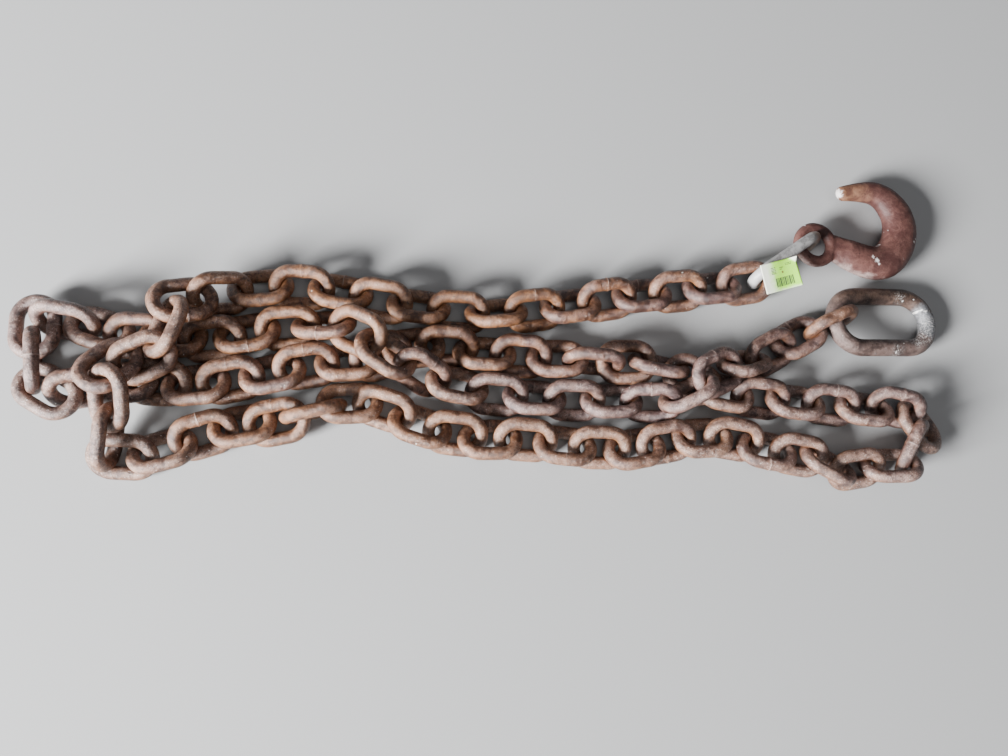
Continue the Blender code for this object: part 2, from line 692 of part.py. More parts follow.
def plan_shift(pieces):
    """What moves the middle of the whole heap's box to the origin."""
    points = [(rings @ frame.T + middle).reshape(-1, 3)
              for rings, frame, middle in zip(pieces.rings, pieces.frames, pieces.middles)]
    points = np.vstack(points)[:, :2]
    low, high = points.min(axis=0), points.max(axis=0)
    along, across, breadth = hook_spine().T
    spine = np.stack([along, across, np.zeros_like(along)], axis=1)
    spine = (spine @ pieces.frames[HOOK].T + pieces.middles[HOOK])[:, :2]
    half = breadth[:, None] / 2
    low = np.minimum(low, (spine - half).min(axis=0))
    high = np.maximum(high, (spine + half).max(axis=0))
    middle = (low + high) / 2
    return Vector((-middle[0], -middle[1], 0.0))


def main():
    for old in list(bpy.data.objects):
        bpy.data.objects.remove(old)
    home = collection(OBJECT_NAME)
    hidden = collection("joined_pieces")
    pieces = settle()
    shift = plan_shift(pieces)
    build_links(pieces, shift, home, hidden)
    coupling_sizes = (COUPLING_INSIDE_LENGTH, COUPLING_INSIDE_WIDTH, COUPLING_WIRE)
    build_single_link("coupling_link", COUPLING, coupling_sizes, BARE_COLOUR, pieces, shift, home)
    end_sizes = (END_INSIDE_LENGTH, END_INSIDE_WIDTH, END_WIRE)
    build_single_link("end_link", END_LINK, end_sizes, CHAIN_COLOUR, pieces, shift, home)
    build_hook(pieces, shift, home, hidden)
    build_tag(pieces, shift, home)
    bpy.context.view_layer.update()
    for made in home.objects:
        if made.modifiers:
            apply_unions(made)
    bpy.data.collections.remove(hidden)


main()
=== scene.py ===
"""Looks of the heap of steel chain: every link, the hook, the coupling link, the end link and the lot tag.

The places of the links are read from the CAD solids, and each solid is replaced by round forged wire with
its weld, its dents and its rust. Metres, +Z up, in the frame of the CAD.
"""
from math import cos, pi, radians, sin

import bmesh
import bpy
import numpy as np
from mathutils import Matrix, Vector, noise


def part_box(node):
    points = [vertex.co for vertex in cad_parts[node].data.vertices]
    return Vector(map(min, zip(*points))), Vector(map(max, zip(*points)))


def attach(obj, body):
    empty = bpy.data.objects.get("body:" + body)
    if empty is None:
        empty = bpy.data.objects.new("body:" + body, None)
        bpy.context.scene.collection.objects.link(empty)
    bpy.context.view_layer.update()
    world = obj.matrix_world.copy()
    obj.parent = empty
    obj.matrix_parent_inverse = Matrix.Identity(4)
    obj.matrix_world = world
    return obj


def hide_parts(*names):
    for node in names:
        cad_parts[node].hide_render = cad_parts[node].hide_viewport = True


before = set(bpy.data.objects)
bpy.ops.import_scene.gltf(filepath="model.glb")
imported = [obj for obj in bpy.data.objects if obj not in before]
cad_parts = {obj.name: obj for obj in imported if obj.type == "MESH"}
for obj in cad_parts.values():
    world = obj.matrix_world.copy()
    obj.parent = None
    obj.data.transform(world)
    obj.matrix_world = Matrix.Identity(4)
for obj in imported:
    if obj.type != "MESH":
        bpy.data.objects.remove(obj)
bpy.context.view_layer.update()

MM = 0.001

# Sizes of the closed pieces, as the CAD has them: inside length, inside width and wire
LINK = (0.048, 0.025, 0.016)
COUPLING = (0.092, 0.022, 0.015)
END_LINK = (0.120, 0.049, 0.0225)
LINK_COUNT = 96
BEND_CORNERS = 5

# Long edges of the CAD's bars: the spread of their lengths and the breadth of a bar, both in wires, and how
# far edges of one link may differ in place along the link, and in direction
EDGE_SPREAD = 0.36
BAR_BREADTH = 1.2
ABREAST = 0.0008
PARALLEL = radians(0.4)

# Fineness of the round wire: sides, steps round a crown and steps along a bar
LINK_FINENESS = (24, 26, 20)
COUPLING_FINENESS = (24, 26, 40)
END_FINENESS = (32, 48, 40)

# How much the rows along a bar crowd round the weld at its middle
CROWDING = 0.7

# Unevenness of the wire: how fine it is, and its depth as a share of the wire
HOLLOWS = (45, 0.016)
DENTS = (150, 0.010)
RAGGEDNESS = 260
CROWN_WEAR = 0.02

# The weld, in wires: widths of its fin, of a second fin and of the swelling, and the second fin's place
FIN_WIDTH = 0.062
SECOND_FIN_WIDTH = 0.05
SECOND_FIN_PLACE = 0.13
SWELLING_WIDTH = 0.38

# Shares of the weld's height that the second fin and the swelling have, and how far the fin wanders
SECOND_FIN_SHARE = 0.7
SWELLING_SHARE = 0.45
FIN_WAVE = 0.0009

# Heights of the welds, and the height from which a weld is pale all over
LOWEST_WELD = 0.0001
HIGHEST_WELD = 0.0008
PALE_WELD = 0.0004

# Golden section: the fractions of its multiples are spread evenly, so pieces vary without a pattern
GOLDEN = 0.618034

# How orange the rust is and how much pale dust lies on it along the chain: link number and share.
# Each link differs a little from its neighbours.
RUST_ALONG = (
    (1, 0.30), (5, 0.40), (8, 0.85), (12, 0.80), (15, 0.60), (18, 0.45), (22, 0.40), (25, 0.65),
    (31, 0.70), (36, 0.55), (42, 0.35), (50, 0.25), (56, 0.35), (61, 0.50), (68, 0.45), (72, 0.20),
    (76, 0.45), (80, 0.65), (84, 0.40), (88, 0.15), (93, 0.20), (96, 0.40),
)
DUST_ALONG = (
    (1, 0.35), (8, 0.30), (14, 0.40), (17, 0.70), (22, 0.70), (25, 0.40), (31, 0.60), (42, 0.80),
    (50, 0.70), (55, 0.45), (62, 0.35), (68, 0.60), (73, 0.90), (76, 0.50), (80, 0.30), (86, 0.65),
    (92, 0.60), (97, 0.40),
)
LINK_TO_LINK = 0.22

# How far joint rust reaches out from where two wires touch
JOINT_REACH = 0.006

# The hook, as the CAD has it: its eye, its lie, and its spine's places along and across with its breadth,
# in millimetres
EYE_HOLE = 0.031
EYE_WIRE = 0.0155
HOOK_FLATNESS = 0.72
HOOK_SET = (-4, -3)
HOOK_SPINE = (
    (24, 0, 37), (38, -4, 39), (52, -8, 42), (68, -12, 44), (86, -14, 46), (102, -9, 48), (115, 4, 48),
    (124, 21, 47), (127, 41, 46), (122, 62, 43), (107, 80, 38), (89, 88, 33), (70, 87, 28), (54, 84, 24),
    (42, 81, 21),
)

# The neck, where the body grows out of the eye: places and breadth as above, and a share of the thickness.
# The spine's first section has a share too, and it grows to the full thickness over some rows.
HOOK_NECK = ((16.5, 0, 47, 0.21), (18, 0, 46, 0.33), (20, -0.5, 44, 0.43))
FIRST_THICKNESS = 0.55
THICKENING_ROWS = 9

# Fineness and forging of the hook
SPINE_STEPS = 6
BODY_SIDES = 28
EYE_SIDES = 24
EYE_STEPS = 64
TIP_STEPS = 6
TIP_LENGTH = 0.9
TIP_POINT = 0.0006
SECTION_ROUNDNESS = 0.9
GROWN_GRAIN = 0.0011
FILLET_STEPS = 14
HOOK_HOLLOWS = (50, 0.00025)
HOOK_DENTS = (190, 0.00014)

# White blots and scratches: place along and across the piece and radius in millimetres, and strength
HOOK_BLOTS = (
    (80, -16, 5.5, 0.80), (75, -12, 4.5, 0.75), (83, -21, 3.5, 0.75), (87, 9, 3.5, 0.75),
    (91, 11, 2.5, 0.7), (139, 19, 3.5, 0.75), (142, 24, 2.5, 0.7), (30, 78, 14, 0.80),
    (110, 24, 9, 0.42), (120, -12, 12, 0.42), (-18, 24, 3, 0.7), (104, 33, 8, 0.40),
)
END_LINK_BLOTS = (
    (52, 16, 2.4, 1.0), (56, 14, 2.2, 1.0), (60, 15, 2.2, 1.0), (65, 13, 2.4, 1.0), (70, 14, 2.0, 1.0),
    (76, 12, 2.2, 0.9), (25, 34, 2.6, 0.8), (33, 28, 2.4, 0.8), (8, -44, 2.2, 0.8), (-36, 37, 2.2, 0.7),
)
END_LINK_FLECKS = (
    (56, -18, 16, 1.0), (68, -5, 11, 1.0), (42, -29, 10, 0.9), (28, 32, 8, 0.7), (10, -42, 9, 0.5),
)
END_LINK_WORN = (
    (64, 0, 22, 1.0), (66, -14, 16, 0.9), (62, 14, 16, 0.8), (20, -38, 12, 0.4),
)
BLOT_EDGE = 1.25

# The lot tag: its size and lie as the CAD has them, and how it is bent
TAG_LENGTH = 0.051
TAG_WIDTH = 0.038
TAG_SET = (17, 0, 12)
TAG_THICKNESS = 0.0004
TAG_COLUMNS = 34
TAG_ROWS = 26
TAG_CURL = 0.0016
TAG_WAVE = 0.0005
TAG_TWIST = 0.0088
TAG_CORNER_LIFT = 0.05

# Print on the tag, in millimetres from its middle
PRINT_HEIGHT = 0.35
BAR_WIDTHS = (1.6, 0.7, 1.1, 2.0, 0.7, 1.2, 1.8, 0.8, 0.7, 1.9, 0.9, 1.4)
BAR_GAP = 0.95
BAR_HEIGHT = 11.5
BARS_CORNER = (-8.7, -14.0)
WIDER_DASH = 0.5
LINES = [(0.5, 9.5, 5.5, 0.8), (0.5, 7.4, 3.5, 0.8)]
DOT = (2.6, 2.6, 2.2, 2.4)

# Colours as linear red, green and blue, mostly the dark and the pale of a mottle
MAUVE = ((0.046, 0.022, 0.020), (0.185, 0.102, 0.090))
ORANGE = ((0.086, 0.032, 0.013), (0.315, 0.132, 0.050))
JOINT_RUST = ((0.080, 0.028, 0.012), (0.300, 0.120, 0.044))
CHAIN_DUST = ((0.200, 0.125, 0.104), (0.530, 0.385, 0.335))
CHAIN_PIT = (0.026, 0.013, 0.011)
SPECK = (0.86, 0.76, 0.70)
# Painted shade that darkens the undersides of the chain's links
PAINTED_UNDERSIDE_SHADE = (0.030, 0.014, 0.011)
WELD = (0.50, 0.39, 0.34)
FLECK = (0.82, 0.80, 0.76)
MAROON = ((0.060, 0.022, 0.019), (0.128, 0.054, 0.044))
HOOK_BROWN = ((0.125, 0.055, 0.033), (0.290, 0.145, 0.080))
HOOK_DUST = (0.27, 0.155, 0.128)
# Painted sheen on the hook's lower left rim, which faces the light
HOOK_PAINTED_SHEEN = (0.46, 0.36, 0.33)
HOOK_PIT = (0.026, 0.010, 0.009)
HOOK_PAINT = (0.74, 0.69, 0.67)
BARE_GREY = ((0.200, 0.190, 0.185), (0.420, 0.410, 0.400))
BRIGHT_GREY = (0.60, 0.59, 0.58)
HAMMERED = (0.49, 0.475, 0.47)
BEARING_RUST = ((0.095, 0.050, 0.030), (0.330, 0.200, 0.125))
END_MAUVE = ((0.050, 0.031, 0.027), (0.150, 0.100, 0.086))
END_BROWN = ((0.038, 0.022, 0.016), (0.120, 0.070, 0.048))
END_CROWN = (0.28, 0.20, 0.18)
END_DUST = (0.36, 0.275, 0.25)
WORN_GREY = ((0.105, 0.105, 0.112), (0.330, 0.330, 0.345))
END_PIT = (0.026, 0.015, 0.012)
END_PAINT = (0.82, 0.79, 0.76)
LIME = ((0.42, 0.91, 0.045), (0.96, 0.98, 0.82))
FIBRE = (0.95, 0.98, 0.85)
INK = ((0.050, 0.080, 0.045), (0.20, 0.30, 0.12))
DOT_INK = ((0.20, 0.075, 0.05), (0.35, 0.25, 0.12))
FLOOR_GREY = (0.42, 0.42, 0.42)
SKY = (0.86, 0.90, 1.0)

# Light: its place, size, power and tint, and the strength of the light from all round
LIGHTS = (
    ("door_light", (-3.9, -2.3, 1.75), 1.5, 1450, (0.98, 0.99, 1.0)),
    ("overhead_light", (0.3, -0.6, 3.2), 2.6, 18, (1.0, 0.98, 0.95)),
)
SKY_STRENGTH = 0.135
FLOOR_SIZE = 12.0

# Camera: where the photograph was taken from, and the direction that points back out of it
CAMERA_PLACE = (-0.1422, -0.2846, 0.9906)
CAMERA_BACK = (-0.1328, -0.2055, 0.9696)
LENS = 29.1
SENSOR_WIDTH = 36.0


# Poses of the links, from the long edges of their solids

def long_edges(node, lengths):
    """Ends of the edges of a solid whose lengths lie between two limits."""
    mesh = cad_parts[node].data
    points = np.array([vert.co for vert in mesh.vertices], dtype=float)
    edges = np.array([edge.vertices for edge in mesh.edges])
    ends = points[edges]
    size = np.linalg.norm(ends[:, 1] - ends[:, 0], axis=1)
    ends = ends[(size > lengths[0]) & (size < lengths[1])]
    order = ends.round(6)
    swap = [tuple(a) > tuple(b) for a, b in order]
    ends[swap] = ends[swap][:, ::-1]
    keys = ends.round(6).reshape(-1, 6)
    return ends[np.unique(keys, axis=0, return_index=True)[1]]


def bar_length(sizes):
    """Length of the straight bars along the middle of the wire, between the corners of the CAD's bends."""
    inside_length, inside_width, wire = sizes
    half_turn = pi / (2 * BEND_CORNERS)
    corner = (inside_width + wire) / 2 / cos(half_turn)
    return inside_length - inside_width + 2 * corner * sin(half_turn)


def bar_middle(middles, along):
    """Middle of a bar from the middles of some of its eight long edges, which all lie on one circle."""
    side = np.cross(along, [0.3, 0.5, 0.8])
    side /= np.linalg.norm(side)
    flat = np.stack([side, np.cross(along, side)], axis=1)
    seen = (middles - middles[0]) @ flat
    sums = np.hstack([2 * seen, np.ones((len(seen), 1))])
    centre = np.linalg.lstsq(sums, (seen ** 2).sum(axis=1), rcond=None)[0][:2]
    return middles[0] + flat @ centre


def link_frames(node, sizes, count):
    """Middle and frame of each link in a solid: the sixteen long edges of a link all run along it."""
    length, wire = bar_length(sizes), sizes[2]
    ends = long_edges(node, (length - EDGE_SPREAD * wire, length + EDGE_SPREAD * wire))
    ways = ends[:, 1] - ends[:, 0]
    ways /= np.linalg.norm(ways, axis=1)[:, None]
    middles = ends.mean(axis=1)
    ahead = abs(((middles[None] - middles[:, None]) * ways[:, None]).sum(axis=2))
    alike = (abs(ways @ ways.T) > cos(PARALLEL)) & (ahead < ABREAST)
    found = []
    used = np.zeros(len(ends), dtype=bool)
    while len(found) < count:
        crowd = (alike & ~used[:, None] & ~used[None]).sum(axis=1)
        chosen = alike[crowd.argmax()] & ~used
        used |= chosen
        signs = np.sign(ways[chosen] @ ways[chosen][0])
        along = (ways[chosen] * signs[:, None]).mean(axis=0)
        along *= np.sign(along[0]) / np.linalg.norm(along)
        edges = middles[chosen]
        apart = np.linalg.norm(edges[:, None] - edges[None], axis=2)
        first = apart[apart.max(axis=1).argmax()] < BAR_BREADTH * wire
        centres = [bar_middle(bar, along) for bar in (edges[first], edges[~first])]
        across = centres[1] - centres[0]
        across -= along * (across @ along)
        across *= np.sign(across[1]) / np.linalg.norm(across)
        turned = np.stack([along, across, np.cross(along, across)], axis=1)
        found.append((np.array(centres).mean(axis=0), turned))
    return found


# Wire of closed pieces

def stadium(inside_length, inside_width, wire, crown_steps, bar_steps):
    """Places and outward directions along the middle of a closed wire."""
    radius = (inside_width + wire) / 2
    half = (inside_length - inside_width) / 2
    rows = []
    for side in (1, -1):
        for k in range(crown_steps):
            angle = (k + 0.5) / crown_steps * pi - pi / 2
            outward = (side * cos(angle), side * sin(angle))
            rows.append((side * half + radius * outward[0], radius * outward[1], *outward))
        for k in range(bar_steps):
            share = 1 - 2 * (k + 0.5) / bar_steps
            share = (1 - CROWDING) * share + CROWDING * share ** 3
            rows.append((side * half * share, side * radius, 0.0, side * 1.0))
    return np.array(rows)


def wrinkles(points, scale, seed):
    """Smooth noise from -1 to 1 at each point."""
    offset = Vector((seed * 7.31, seed * 3.17, seed * 5.73))
    return np.array([noise.noise(Vector(point) * scale + offset) for point in points])


def tube_faces(rings, sides, closed=True):
    """Faces between rings of points that follow one another."""
    faces = []
    for k in range(rings if closed else rings - 1):
        first = k * sides
        second = (k + 1) % rings * sides
        for a in range(sides):
            b = (a + 1) % sides
            faces.append((first + a, first + b, second + b, second + a))
    return faces


def wire_surface(sizes, seed, weld_side, weld_height, fineness):
    """Vertices, faces and weld share of a closed forged wire, with a weld at the middle of one bar."""
    sides, crown_steps, bar_steps = fineness
    rows = stadium(*sizes, crown_steps, bar_steps)
    wire = sizes[2]
    grid = (len(rows), sides)
    angles = np.arange(sides) * 2 * pi / sides
    level = np.zeros(len(rows))
    middle = np.stack([rows[:, 0], rows[:, 1], level], axis=1)[:, None]
    outward = np.stack([rows[:, 2], rows[:, 3], level], axis=1)[:, None]
    spoke = np.cos(angles)[:, None] * outward + np.sin(angles)[:, None] * np.array([0.0, 0.0, 1.0])
    even = (middle + spoke * wire / 2).reshape(-1, 3)
    hollows = wrinkles(even, HOLLOWS[0], seed).reshape(grid)
    dents = wrinkles(even, DENTS[0], seed + 1).reshape(grid)
    ragged = wrinkles(even, RAGGEDNESS, seed + 2).reshape(grid)

    on_bar = (abs(rows[:, 2]) < 0.01) & (np.sign(rows[:, 1]) == weld_side)
    from_weld = np.where(on_bar, rows[:, 0], 1.0)[:, None] + FIN_WAVE * hollows
    fin = np.exp(-(from_weld / (FIN_WIDTH * wire)) ** 2) * np.clip(0.75 + 0.9 * ragged, 0, 1)
    from_second = from_weld - SECOND_FIN_PLACE * wire
    second = np.exp(-(from_second / (SECOND_FIN_WIDTH * wire)) ** 2) * np.clip(0.3 - 1.6 * ragged, 0, 1)
    swelling = np.exp(-(from_weld / (SWELLING_WIDTH * wire)) ** 2)
    weld = fin + SECOND_FIN_SHARE * second

    inner_side = np.clip(-np.cos(angles), 0, 1) ** 4
    at_crown = np.clip(abs(rows[:, 2]) * 1.6 - 0.6, 0, 1)[:, None]
    radius = wire / 2 + wire * (HOLLOWS[1] * hollows + DENTS[1] * dents)
    radius += weld_height * (SWELLING_SHARE * swelling + weld) - CROWN_WEAR * wire * at_crown * inner_side
    points = middle + spoke * radius[:, :, None]
    return points.reshape(-1, 3), tube_faces(*grid), np.clip(weld, 0, 1).ravel()


# Blender objects

def set_attributes(mesh, attributes):
    """Values at the mesh's points that its material reads."""
    for key, values in attributes.items():
        layer = mesh.attributes.new(key, "FLOAT", "POINT")
        layer.data.foreach_set("value", np.asarray(values, dtype=np.float32))


def mesh_object(name, points, faces, material, attributes=None):
    """An object with one smooth mesh whose faces all look outward."""
    mesh = bpy.data.meshes.new(name)
    mesh.from_pydata([tuple(point) for point in points], [], faces)
    mesh.shade_smooth()
    set_attributes(mesh, attributes or {})
    work = bmesh.new()
    work.from_mesh(mesh)
    bmesh.ops.recalc_face_normals(work, faces=work.faces)
    work.to_mesh(mesh)
    work.free()
    made = bpy.data.objects.new(name, mesh)
    bpy.context.scene.collection.objects.link(made)
    mesh.materials.append(material)
    return made


def keep(made, slot, *nodes):
    """A finished piece rides on the one body and stands for its CAD nodes."""
    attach(made, "root")
    if nodes:
        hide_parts(*nodes)


# Materials

def colour(value):
    """A colour given as three numbers gets its fourth; a socket stays as it is."""
    return value if isinstance(value, bpy.types.NodeSocket) else (*value, 1.0)


class Shader:
    """A material's nodes, added one by one. An input is a value or another node's output."""

    def __init__(self, name):
        self.material = bpy.data.materials.new(name)
        self.material.use_nodes = True
        self.tree = self.material.node_tree
        self.surface = self.tree.nodes["Principled BSDF"]
        self.place = self.add("ShaderNodeTexCoord").outputs["Object"]

    def set(self, made, inputs):
        for key, value in inputs.items():
            socket = made.inputs[key]
            if isinstance(value, bpy.types.NodeSocket):
                self.tree.links.new(value, socket)
            else:
                socket.default_value = value

    def add(self, kind, inputs=None, **settings):
        made = self.tree.nodes.new(kind)
        for key, value in settings.items():
            setattr(made, key, value)
        self.set(made, inputs or {})
        return made

    def attribute(self, name):
        return self.add("ShaderNodeAttribute", attribute_name=name).outputs["Fac"]

    def upward(self):
        """How far the surface looks up: 1 on top, 0 at the sides and -1 underneath."""
        normal = self.add("ShaderNodeNewGeometry").outputs["Normal"]
        return self.add("ShaderNodeSeparateXYZ", {0: normal}).outputs["Z"]

    def noise(self, scale, detail=4.0, roughness=0.6, distortion=0.0):
        inputs = {"Vector": self.place, "Scale": scale, "Detail": detail}
        inputs.update({"Roughness": roughness, "Distortion": distortion})
        return self.add("ShaderNodeTexNoise", inputs).outputs["Fac"]

    def ramp(self, value, low, high, to_low=0.0, to_high=1.0):
        """A smooth step between two limits."""
        inputs = {"Value": value, "From Min": low, "From Max": high, "To Min": to_low, "To Max": to_high}
        return self.add("ShaderNodeMapRange", inputs, interpolation_type="SMOOTHSTEP").outputs["Result"]

    def maths(self, operation, first, second):
        return self.add("ShaderNodeMath", {0: first, 1: second}, operation=operation).outputs[0]

    def times(self, first, second):
        return self.maths("MULTIPLY", first, second)

    def weigh(self, *parts):
        """The sum of some outputs, each with its weight."""
        total = None
        for value, weight in parts:
            part = value if weight == 1 else self.times(value, weight)
            total = part if total is None else self.maths("ADD", total, part)
        return total

    def mix(self, share, first, second):
        inputs = {0: share, 6: colour(first), 7: colour(second)}
        return self.add("ShaderNodeMix", inputs, data_type="RGBA").outputs[2]

    def lay(self, body, over, share, strength=1):
        """One colour laid over another, as far as a share and a strength say."""
        return self.mix(share if strength == 1 else self.times(share, strength), body, over)

    def relief(self, *layers):
        """Bumps from broad to fine, each with its height, distance and strength."""
        normal = None
        for height, distance, strength in layers:
            inputs = {"Height": height, "Distance": distance, "Strength": strength}
            if normal is not None:
                inputs["Normal"] = normal
            normal = self.add("ShaderNodeBump", inputs).outputs["Normal"]
        self.set(self.surface, {"Normal": normal})

    def finish(self, body, roughness, metallic=0.0, specular=0.5):
        """The surface's colour and shine, and the finished material."""
        self.set(self.surface, {"Base Color": colour(body), "Roughness": roughness})
        self.set(self.surface, {"Metallic": metallic, "Specular IOR Level": specular})
        return self.material


def chain_steel():
    """Mauve scale and orange rust in patches, dusty on top, pitted and gritty, rusty in the joints, with
    painted shade on the undersides.
    """
    s = Shader("chain_steel")
    contact = s.attribute("contact")
    patches = s.noise(58, 5, 0.66, 0.8)
    blotch = s.noise(170, 5, 0.7, 0.5)
    grit = s.noise(520, 5, 0.78)
    grain = s.noise(1500, 3, 0.7)
    up = s.upward()
    mottle = s.ramp(s.weigh((patches, 0.65), (blotch, 0.35)), 0.40, 0.60)
    warmth = s.weigh((s.attribute("tone"), 0.8), (s.noise(44, 4, 0.6, 0.5), 0.7), (up, -0.08))
    body = s.mix(s.ramp(warmth, 0.34, 0.84), s.mix(mottle, *MAUVE), s.mix(mottle, *ORANGE))
    joint_rust = s.ramp(s.weigh((contact, 1), (blotch, 0.6)), 0.50, 1.10)
    body = s.lay(body, s.mix(grit, *JOINT_RUST), joint_rust, 0.75)
    lying = s.ramp(s.weigh((patches, 0.6), (blotch, 0.4), (s.attribute("dust"), 0.26)), 0.53, 0.90)
    out_of_joint = s.maths("SUBTRACT", 1.0, s.times(contact, 0.8))
    dusty = s.times(s.times(s.ramp(up, -0.2, 0.9), lying), out_of_joint)
    body = s.lay(body, s.mix(s.ramp(grit, 0.36, 0.64), *CHAIN_DUST), dusty, 0.62)
    body = s.lay(body, CHAIN_PIT, s.ramp(s.noise(330, 4, 0.6), 0.56, 0.66), 0.7)
    specks = s.ramp(s.noise(640, 3, 0.6), 0.585, 0.66)
    body = s.lay(body, SPECK, s.times(specks, dusty), 0.95)
    # Painted shade: the more a surface faces down, the darker it is made
    body = s.lay(body, PAINTED_UNDERSIDE_SHADE, s.ramp(up, -0.75, 0.05, 0.7, 0.0))
    weld = s.ramp(s.weigh((s.attribute("weld"), 1), (blotch, -0.7)), 0.05, 0.60)
    body = s.lay(body, WELD, weld, 0.6)
    body = s.lay(body, FLECK, s.ramp(s.noise(240, 2, 0.5), 0.735, 0.760), 0.8)
    s.relief((patches, 0.0012, 0.7), (blotch, 0.0012, 1.0), (grit, 0.0009, 1.0), (grain, 0.00018, 0.8))
    return s.finish(body, s.ramp(s.weigh((grit, 1), (dusty, 0.1)), 0.3, 0.9, 0.28, 0.54), 0.08, 0.9)


def hook_steel():
    """Dark maroon oxide, orange-brown towards the tip, dusty on top, with pits and white blots, and a
    painted sheen on the lower left rim.
    """
    s = Shader("hook_steel")
    broad = s.noise(24, 4, 0.6, 0.4)
    patches = s.noise(80, 5, 0.65, 0.5)
    grit = s.noise(480, 5, 0.75)
    body = s.mix(s.ramp(s.weigh((broad, 0.6), (patches, 0.4)), 0.38, 0.62), *MAROON)
    tipward = s.ramp(s.weigh((s.attribute("tipward"), 1), (patches, 0.5)), 0.55, 1.15)
    body = s.lay(body, s.mix(s.ramp(patches, 0.38, 0.62), *HOOK_BROWN), tipward)
    lying = s.ramp(s.weigh((patches, 0.45), (grit, 0.55)), 0.44, 0.74)
    body = s.lay(body, HOOK_DUST, s.times(s.ramp(s.upward(), 0.1, 1.0), lying), 0.36)
    # Painted sheen: the rims that face down and to the left, towards the light, are made paler
    pale = s.ramp(s.weigh((s.attribute("edge"), 1), (patches, 0.9)), 1.15, 1.55)
    body = s.lay(body, HOOK_PAINTED_SHEEN, pale, 0.6)
    body = s.lay(body, HOOK_PIT, s.ramp(s.noise(300, 4, 0.6), 0.58, 0.70), 0.6)
    paint = s.weigh((grit, 0.9), (s.noise(330, 3, 0.6), 0.7), (s.attribute("paint"), 1))
    body = s.lay(body, HOOK_PAINT, s.ramp(paint, 1.30, 1.46), 0.9)
    s.relief((patches, 0.0012, 0.8), (grit, 0.0006, 1.0))
    return s.finish(body, s.ramp(grit, 0.3, 0.8, 0.46, 0.66), 0.06, 0.45)


def bare_steel():
    """Bare grey steel of the coupling link, hammered pale at one end, rusty where the hook bears."""
    s = Shader("bare_steel")
    end = s.attribute("end")
    patches = s.noise(90, 5, 0.65, 0.6)
    fine = s.noise(520, 6, 0.75)
    body = s.mix(s.ramp(patches, 0.38, 0.62), *BARE_GREY)
    body = s.lay(body, BRIGHT_GREY, s.ramp(fine, 0.62, 0.74))
    white = s.ramp(s.weigh((patches, 0.25), (end, -1)), 0.62, 0.95)
    body = s.lay(body, HAMMERED, white)
    rust = s.ramp(s.weigh((end, 1), (patches, 0.5)), 0.85, 1.12)
    body = s.lay(body, s.mix(fine, *BEARING_RUST), rust, 0.9)
    metal = s.ramp(s.maths("MAXIMUM", rust, white), 0.0, 1.0, 0.35, 0.05)
    s.relief((patches, 0.0008, 0.7), (fine, 0.0004, 0.8))
    return s.finish(body, s.ramp(fine, 0.3, 0.8, 0.30, 0.55), metal)


def end_steel():
    """Brown and mauve scale of the end link, pale on the crown in the chain, worn grey on the other."""
    s = Shader("end_steel")
    patches = s.noise(50, 5, 0.66, 0.7)
    blotch = s.noise(150, 5, 0.7, 0.4)
    grit = s.noise(500, 5, 0.78)
    mottle = s.ramp(s.weigh((patches, 0.6), (blotch, 0.4)), 0.40, 0.60)
    farther = s.ramp(s.weigh((s.attribute("side"), 1), (patches, 0.5)), 0.40, 1.05)
    body = s.mix(farther, s.mix(mottle, *END_MAUVE), s.mix(mottle, *END_BROWN))
    crown = s.ramp(s.weigh((patches, 0.5), (s.attribute("end"), -1)), 0.80, 1.20)
    body = s.lay(body, END_CROWN, crown, 0.22)
    lying = s.ramp(s.weigh((patches, 0.4), (grit, 0.6)), 0.46, 0.72)
    body = s.lay(body, END_DUST, s.times(s.ramp(s.upward(), 0.0, 1.0), lying), 0.40)
    worn = s.ramp(s.weigh((s.attribute("worn"), 1), (blotch, 0.7)), 0.70, 1.10)
    body = s.lay(body, s.mix(s.ramp(grit, 0.35, 0.65), *WORN_GREY), worn)
    body = s.lay(body, END_PIT, s.ramp(s.noise(310, 4, 0.6), 0.57, 0.68), 0.65)
    flecks = s.times(s.attribute("flecks"), s.ramp(s.noise(600, 3, 0.6), 0.52, 0.60))
    blotted = s.ramp(s.weigh((s.attribute("paint"), 1), (grit, 0.6)), 0.78, 0.92)
    strays = s.times(s.ramp(s.noise(240, 2, 0.5), 0.735, 0.760), 0.7)
    body = s.lay(body, END_PAINT, s.maths("MAXIMUM", s.maths("MAXIMUM", blotted, flecks), strays))
    s.relief((patches, 0.0012, 0.7), (blotch, 0.0011, 0.9), (grit, 0.0009, 1.0))
    return s.finish(body, s.ramp(grit, 0.3, 0.8, 0.32, 0.58), s.ramp(worn, 0.0, 1.0, 0.06, 0.5))


def tag_card():
    """Fluorescent yellow-green card, washed out towards one end and along its lower edge."""
    s = Shader("tag_card")
    fibre = s.noise(900, 4, 0.7)
    stain = s.noise(120, 4, 0.6, 0.5)
    body = s.mix(s.ramp(s.weigh((s.attribute("fade"), 1), (stain, 0.8)), 0.54, 1.32), *LIME)
    body = s.lay(body, FIBRE, s.ramp(fibre, 0.45, 0.8), 0.25)
    s.relief((fibre, 0.00008, 0.4), (stain, 0.0003, 0.5))
    return s.finish(body, 0.5)


def tag_ink(name, shades):
    """Ink that is worn through in places."""
    s = Shader(name)
    return s.finish(s.mix(s.ramp(s.noise(700, 4, 0.7), 0.45, 0.75), *shades), 0.6)


# Chain, coupling link and end link

